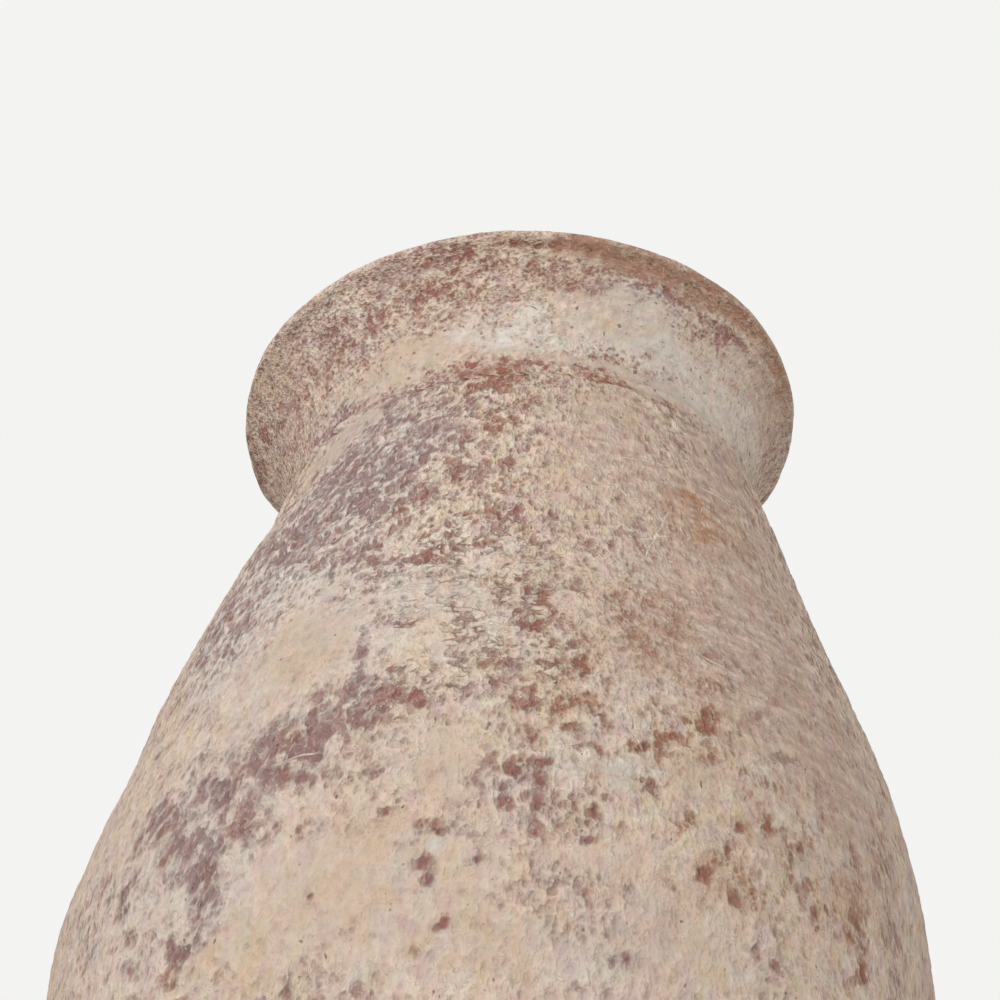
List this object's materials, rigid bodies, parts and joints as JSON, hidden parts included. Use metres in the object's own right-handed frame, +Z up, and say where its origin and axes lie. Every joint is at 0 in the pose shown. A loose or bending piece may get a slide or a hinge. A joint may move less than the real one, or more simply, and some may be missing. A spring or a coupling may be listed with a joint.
{
  "type": "pithos storage jar",
  "caption": "Tall hand-built clay storage jar with a swelling body, long sloping shoulder, short neck and wide flared rim, open at the top, for keeping grain, oil or wine.",
  "frame": {"origin": "middle of the flat foot, on the surface that the jar stands on", "axes": "+Z up along the body's axis, -X the side to which the rim leans down"},
  "size_m": [0.3, 0.3, 0.5883],
  "materials": {
    "foot_clay": "matt bare fired clay with rubbed soil",
    "body_clay": "matt worn red slip under a pale lime crust",
    "rim_clay": "matt worn red slip with wiping marks and lime crust"
  },
  "bodies": {
    "root": {"base_disc": "foot_clay", "heel_coil": "foot_clay", "lower_wall_belt": "body_clay", "lower_belly_belt": "body_clay", "upper_belly_belt": "body_clay", "lower_shoulder_belt": "body_clay", "upper_shoulder_belt": "body_clay", "neck_ridge": "rim_clay", "neck_collar": "rim_clay", "rim_flare": "rim_clay", "lip_coil": "rim_clay"}
  },
  "joints": []
}
